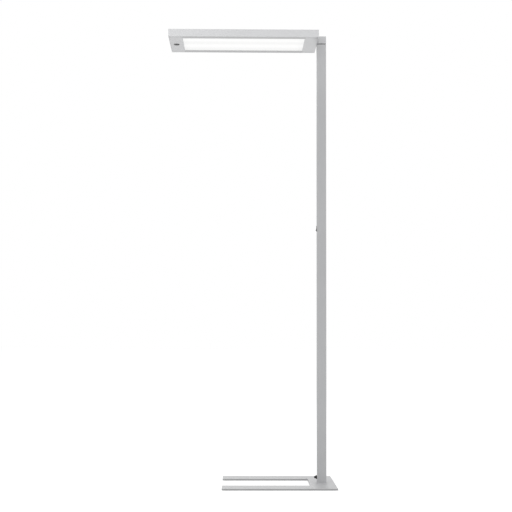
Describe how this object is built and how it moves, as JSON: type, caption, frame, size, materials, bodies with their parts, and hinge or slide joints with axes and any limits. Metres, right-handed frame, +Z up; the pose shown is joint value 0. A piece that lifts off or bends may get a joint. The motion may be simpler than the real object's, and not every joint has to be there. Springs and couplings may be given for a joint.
{
  "type": "office floor lamp",
  "caption": "Tall floor lamp: flat rectangular light head that swivels on a square column, over a flat U-shaped floor plate; rocker switch on the column.",
  "frame": {"origin": "on the column's axis at floor level: the centre line of the square column, on the underside of the anti-slip pad below it", "axes": "+Z up along the column, +X from the head towards the column, +Y to the rear; the head points along -X at rest"},
  "size_m": [0.72, 0.436, 1.953],
  "materials": {
    "silver_lacquer": "satin silver lacquer on steel",
    "silver_anodised": "satin silver, finely textured",
    "steel": "zinc-plated steel",
    "brass": "turned brass",
    "rubber": "matte anti-slip rubber",
    "black_plastic": "moulded black",
    "cable_sheath": "smooth black sheath",
    "dark_plastic": "moulded dark grey",
    "white_plastic": "moulded white",
    "white_metal": "matte white coated sheet",
    "opal_acrylic": "opal acrylic, lit from behind",
    "frosted_acrylic": "frosted acrylic cover",
    "tube_glass": "coated fluorescent tube",
    "cap_aluminium": "pressed aluminium",
    "circuit_board": "lacquered board"
  },
  "bodies": {
    "stand": {"base_plate": "silver_lacquer", "column_pad": "rubber", "prong_pads": "rubber", "base_screws": "steel", "foot_block": "steel", "foot_side_screws": "steel", "earth_screw": "brass", "mains_terminal": "white_plastic", "column_tube": "silver_lacquer", "cable_gland": "black_plastic", "gland_locknut": "black_plastic", "column_lead": "cable_sheath", "switch_housing": "dark_plastic", "rocker_axle": "steel", "switch_contacts": "brass", "switch_lead": "cable_sheath", "pivot_plug": "steel", "plug_side_screws": "steel", "upper_bush": "brass", "lower_bush": "brass"},
    "rocker_body": {"rocker": "black_plastic"},
    "head": {"spindle": "steel", "thrust_washer": "black_plastic", "stop_pin": "steel", "friction_disc": "brass", "spring_washer": "steel", "spindle_nut": "steel", "head_block": "silver_lacquer", "block_cap": "silver_lacquer", "spindle_grub_screw": "steel", "block_screws": "steel", "head_bracket": "steel", "head_frame": "silver_anodised", "underside_panel": "silver_anodised", "underside_screws": "steel", "lower_diffuser": "opal_acrylic", "front_reflector": "white_metal", "rear_reflector": "white_metal", "tube_holders": "white_plastic", "glass_tubes": "tube_glass", "tube_caps": "cap_aluminium", "front_control_gear": "white_metal", "rear_control_gear": "white_metal", "gear_screws": "steel", "upper_diffuser": "frosted_acrylic", "top_cover": "silver_anodised", "top_screws": "steel", "sensor_bezel": "dark_plastic", "sensor_lens": "black_plastic", "sensor_board": "circuit_board", "head_terminal": "white_plastic", "head_lead": "cable_sheath", "gear_wires": "cable_sheath"}
  },
  "joints": [
    {"name": "head_swivel", "type": "hinge", "parent": "stand", "child": "head", "pos_m": [0, 0, 1.9], "axis": [0, 0, 1], "range_deg": [-90, 90]},
    {"name": "rocker_tilt", "type": "hinge", "parent": "stand", "child": "rocker_body", "pos_m": [-0.017, 0, 1.106], "axis": [0, -1, 0], "range_deg": [0, 18]}
  ]
}
